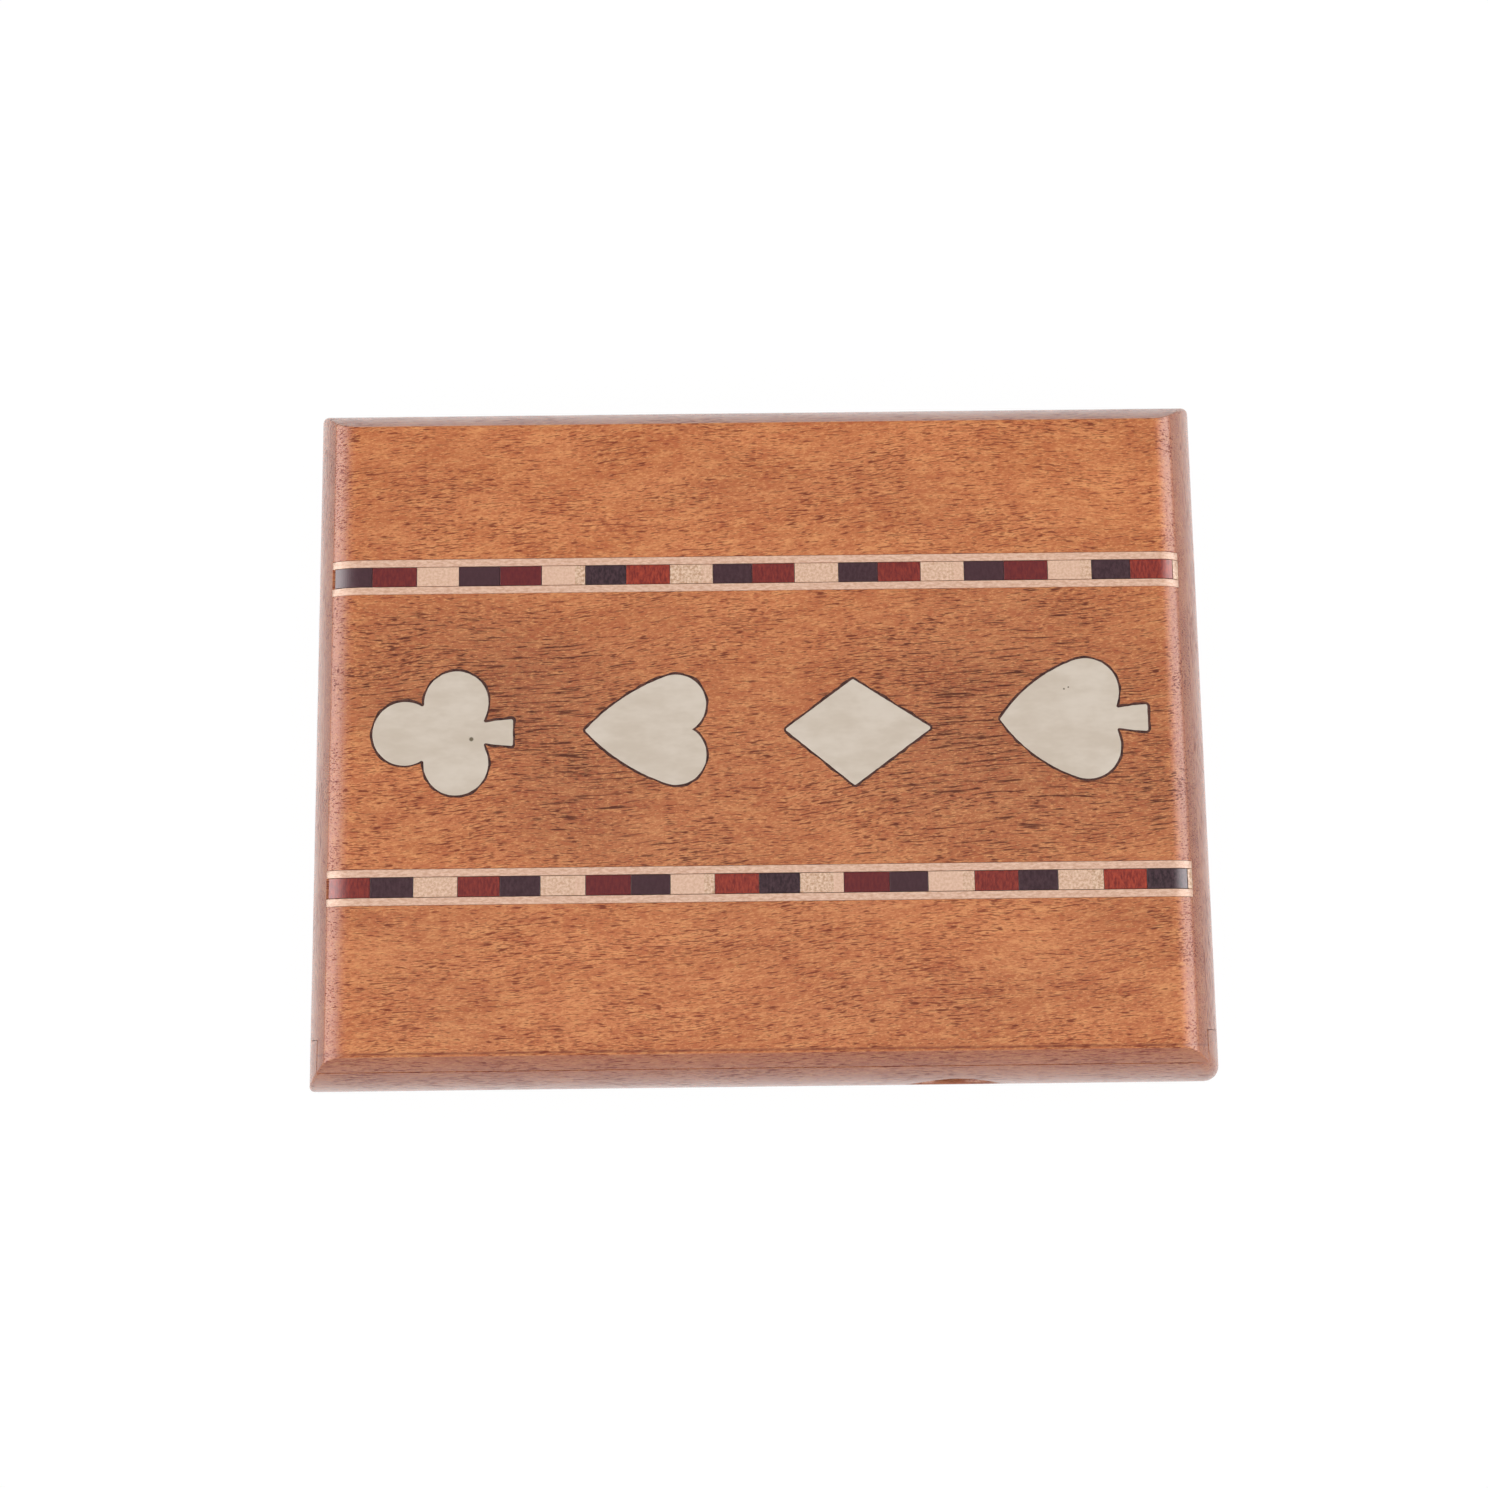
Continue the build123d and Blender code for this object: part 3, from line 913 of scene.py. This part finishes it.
def holeTool(name):
    # a bore that flares at both faces by the rim's rounding
    shape = bmesh.new()
    stations = []
    for face, hand in ((frontLow.y, 1), (frontHigh.y, -1)):
        line = [(face - hand * reach, hole["radius"] + hole["rim"])]
        for step in range(hole["rimSteps"] + 1):
            angle = math.pi / 2 * step / hole["rimSteps"]
            line.append((
                face + hand * hole["rim"] * (1 - math.cos(angle)),
                hole["radius"] + hole["rim"] * (1 - math.sin(angle)),
            ))
        stations.extend(line if hand == 1 else reversed(line))
    rings = []
    for y, radius in stations:
        ring = []
        for step in range(hole["sides"]):
            angle = math.tau * step / hole["sides"]
            ring.append(shape.verts.new((
                hole["x"] + radius * math.cos(angle), y, holeLevel + radius * math.sin(angle),
            )))
        rings.append(ring)
    for near, far in zip(rings, rings[1:]):
        for i in range(hole["sides"]):
            j = (i + 1) % hole["sides"]
            shape.faces.new((near[i], near[j], far[j], far[i]))
    shape.faces.new(rings[0])
    shape.faces.new(rings[-1])
    bmesh.ops.recalc_face_normals(shape, faces=shape.faces)
    return meshPiece(name, shape)


carve(drawerFront, holeTool("tool"))
# the housings in its back, for the pieces that it holds
for node in ("drawer_left_side", "drawer_right_side", "drawer_bottom", "drawer_divider"):
    carve(drawerFront, block("tool", *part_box(node)))
soften(drawerFront, softEdges["drawer"], 40.0)
dress(drawerFront, frontWood, "drawer", "case_wood", "drawer_front")


def softCopy(name, node, width):
    # the solid's own shape with its edges sanded round
    shape = bmesh.new()
    shape.from_mesh(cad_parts[node].data)
    bmesh.ops.remove_doubles(shape, verts=shape.verts, dist=weld)
    flat = math.radians(0.5)
    bmesh.ops.dissolve_limit(shape, angle_limit=flat, verts=shape.verts, edges=shape.edges)
    return soften(meshPiece(name, shape), width, 40.0)


for name, node, material in (
    ("drawerLeftSide", "drawer_left_side", drawerSideWood),
    ("drawerRightSide", "drawer_right_side", drawerSideWood),
    ("drawerBack", "drawer_back", drawerWood),
    ("drawerDivider", "drawer_divider", drawerSideWood),
    ("drawerBottom", "drawer_bottom", drawerWood),
):
    board = softCopy(name, node, softEdges["drawer"])
    dress(board, material, "drawer", "drawer_wood", node)


velvetLook = {
    "nap": (0.0005, 0.0005, 0.0005),
    "brushed": (0.02, 0.012, 0.01),
    "deep": srgb(92, 16, 26),
    "pale": srgb(122, 24, 36),
    "pits": srgb(70, 10, 18),
    "roughness": 0.9,
    "sheen": 0.5,
    "sheenRoughness": 0.4,
    "sheenTint": srgb(190, 70, 84),
    "relief": 0.5,
    "pile": 0.0003,
}


def velvetMaterial(name, look):
    material, tree, shader = newMaterial(name)
    place = objectPlace(tree)
    nap = cloud(tree, place, look["nap"], 2.0, 0.6)
    brushed = cloud(tree, place, look["brushed"], 2.0)
    colour = tint(tree, ease(tree, brushed, 0.35, 0.65), look["deep"], look["pale"])
    colour = tint(tree, ease(tree, nap, 0.3, 0.7, 0.5, 0.0), colour, look["pits"])
    feed(tree, shader.inputs["Base Color"], colour)
    shader.inputs["Roughness"].default_value = look["roughness"]
    shader.inputs["Sheen Weight"].default_value = look["sheen"]
    shader.inputs["Sheen Roughness"].default_value = look["sheenRoughness"]
    shader.inputs["Sheen Tint"].default_value = look["sheenTint"]
    emboss(tree, shader, nap, look["relief"], look["pile"])
    return material


velvet = velvetMaterial("velvet", velvetLook)
lining = {
    "top": 0.9 * mm,  # upper face over the drawer's bottom
    "body": 0.6 * mm,
    "cell": 1.0 * mm,
    "wave": 0.12 * mm,
    "waveLength": 12 * mm,
}
for hand in ("left", "right"):
    low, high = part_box(f"drawer_lining_{hand}")
    columns = round((high.x - low.x) / lining["cell"])
    rows = round((high.y - low.y) / lining["cell"])
    shape = bmesh.new()
    grid = []
    for row in range(rows + 1):
        line = []
        for column in range(columns + 1):
            x = low.x + (high.x - low.x) * column / columns
            y = low.y + (high.y - low.y) * row / rows
            lift = noise.noise(Vector((x, y, 0)) / lining["waveLength"]) * lining["wave"]
            line.append(shape.verts.new((x, y, low.z + lining["top"] + lift - lining["wave"])))
        grid.append(line)
    for under, over in zip(grid, grid[1:]):
        for column in range(columns):
            shape.faces.new((under[column], under[column + 1], over[column + 1], over[column]))
    cloth = meshPiece(f"lining{hand.title()}", shape)
    solid = cloth.modifiers.new("body", "SOLIDIFY")
    solid.thickness = lining["body"]
    solid.offset = -1.0
    settle(cloth)
    cloth.data.shade_smooth()
    dress(cloth, velvet, "drawer", "lining_cloth", f"drawer_lining_{hand}")


print("stage")
studio = {
    "skyLow": 0.1,  # light on the object from all round
    "skyHigh": 2.04,  # and from a wide soft light above, a little to the front
    "skyTilt": math.radians(13),
    "skyEdge": 0.5,  # cosine of the angle at which it ends
    "mirrorLow": 0.85,  # what the lacquer mirrors at the horizon and from above
    "mirrorHigh": 0.12,
    "mirrorBlend": (0.1, 0.75),  # between which rises it changes
    "softbox": 4.8,  # and from the two pale screens at the sides
    "screenSides": (0.35, 0.8),
    "screenFoot": (0.0, 0.25),
    "lampPower": 0.12,
    "lampPlace": (0.5, 0.07, 0.36),
    "lampSize": (0.2, 0.6),  # height and length
}
floorLook = {
    "half": 3,
    "level": -0.0001,
    "grey": (0.3, 0.3, 0.3, 1),
    "roughness": 0.7,
    "white": 1.12,  # as the camera sees it
    "mirroredMore": 0.08,  # the lacquer mirrors it a little brighter
    "share": 0.86,  # the rest takes the box's shadow
}
floorMesh = bmesh.new()
for x, y in ((-1, -1), (1, -1), (1, 1), (-1, 1)):
    floorMesh.verts.new((x * floorLook["half"], y * floorLook["half"], floorLook["level"]))
floorMesh.faces.new(floorMesh.verts)
studioFloor = meshPiece("studioFloor", floorMesh)
material, tree, shader = newMaterial("floorWhite")
shader.inputs["Base Color"].default_value = floorLook["grey"]
shader.inputs["Roughness"].default_value = floorLook["roughness"]
path = addNode(tree, "ShaderNodeLightPath")
seen = calc(tree, "MAXIMUM", path.outputs["Is Camera Ray"], path.outputs["Is Glossy Ray"])
seen = calc(tree, "MAXIMUM", seen, path.outputs["Is Transmission Ray"])
glow = addNode(tree, "ShaderNodeEmission")
mirroredMore, white = floorLook["mirroredMore"], floorLook["white"]
brightness = calc(tree, "MULTIPLY_ADD", path.outputs["Is Glossy Ray"], mirroredMore, white)
feed(tree, glow.inputs["Strength"], brightness)
mixed = addNode(tree, "ShaderNodeMixShader")
feed(tree, mixed.inputs[0], calc(tree, "MULTIPLY", seen, floorLook["share"]))
feed(tree, mixed.inputs[1], shader.outputs[0])
feed(tree, mixed.inputs[2], glow.outputs[0])
feed(tree, tree.nodes["Material Output"].inputs["Surface"], mixed.outputs[0])
studioFloor.data.materials.append(material)

world = bpy.data.worlds.new("studioWorld")
bpy.context.scene.world = world
world.use_nodes = True
tree = world.node_tree
path = addNode(tree, "ShaderNodeLightPath")
background = tree.nodes["Background"]
background.inputs["Color"].default_value = (1, 1, 1, 1)
around = addNode(tree, "ShaderNodeTexCoord").outputs["Generated"]
toward = addNode(tree, "ShaderNodeSeparateXYZ")
feed(tree, toward.inputs[0], around)
sideways = calc(tree, "ABSOLUTE", toward.outputs[0])
up = toward.outputs[2]
above = addNode(tree, "ShaderNodeVectorMath", operation="DOT_PRODUCT")
feed(tree, above.inputs[0], around)
above.inputs[1].default_value = (0, -math.sin(studio["skyTilt"]), math.cos(studio["skyTilt"]))
skyTop = studio["skyLow"] + studio["skyHigh"]
sky = ease(tree, above.outputs["Value"], studio["skyEdge"], 1.0, studio["skyLow"], skyTop)
screen = ease(tree, sideways, *studio["screenSides"])
screen = calc(tree, "MULTIPLY", screen, ease(tree, up, *studio["screenFoot"]))
mirrored = ease(tree, up, *studio["mirrorBlend"], studio["mirrorLow"], studio["mirrorHigh"])
mirrored = calc(tree, "MULTIPLY_ADD", screen, studio["softbox"], mirrored)
plain = calc(tree, "MAXIMUM", path.outputs["Is Camera Ray"], path.outputs["Is Transmission Ray"])
inGloss = calc(tree, "SUBTRACT", mirrored, sky)
inGloss = calc(tree, "MULTIPLY", path.outputs["Is Glossy Ray"], inGloss)
inPlain = calc(tree, "MULTIPLY", plain, calc(tree, "SUBTRACT", 1.0, sky))
strength = calc(tree, "ADD", sky, calc(tree, "ADD", inGloss, inPlain))
feed(tree, background.inputs["Strength"], strength)

for hand in (-1, 1):
    lamp = bpy.data.lights.new("sideLamp", "AREA")
    lamp.energy = studio["lampPower"]
    lamp.shape = "RECTANGLE"
    lamp.size, lamp.size_y = studio["lampSize"]
    holder = bpy.data.objects.new("sideLamp", lamp)
    bpy.context.scene.collection.objects.link(holder)
    x, y, z = studio["lampPlace"]
    holder.location = (hand * x, y, z)
    holder.rotation_euler = (0, hand * math.atan2(x, z), 0)

view = {
    "lens": 50.92,
    "sensor": 36.0,
    "nearest": 0.01,
    "place": (-0.0045, -0.06378, 0.41046),
    "turn": (0.16285, -0.00188, -0.01215),
}
camera = bpy.data.cameras.new("photoCamera")
camera.lens = view["lens"]
camera.sensor_width = view["sensor"]
camera.clip_start = view["nearest"]
cameraHolder = bpy.data.objects.new("photoCamera", camera)
bpy.context.scene.collection.objects.link(cameraHolder)
cameraHolder.location = view["place"]
cameraHolder.rotation_euler = view["turn"]
bpy.context.scene.camera = cameraHolder
bpy.context.scene.view_settings.view_transform = "Standard"
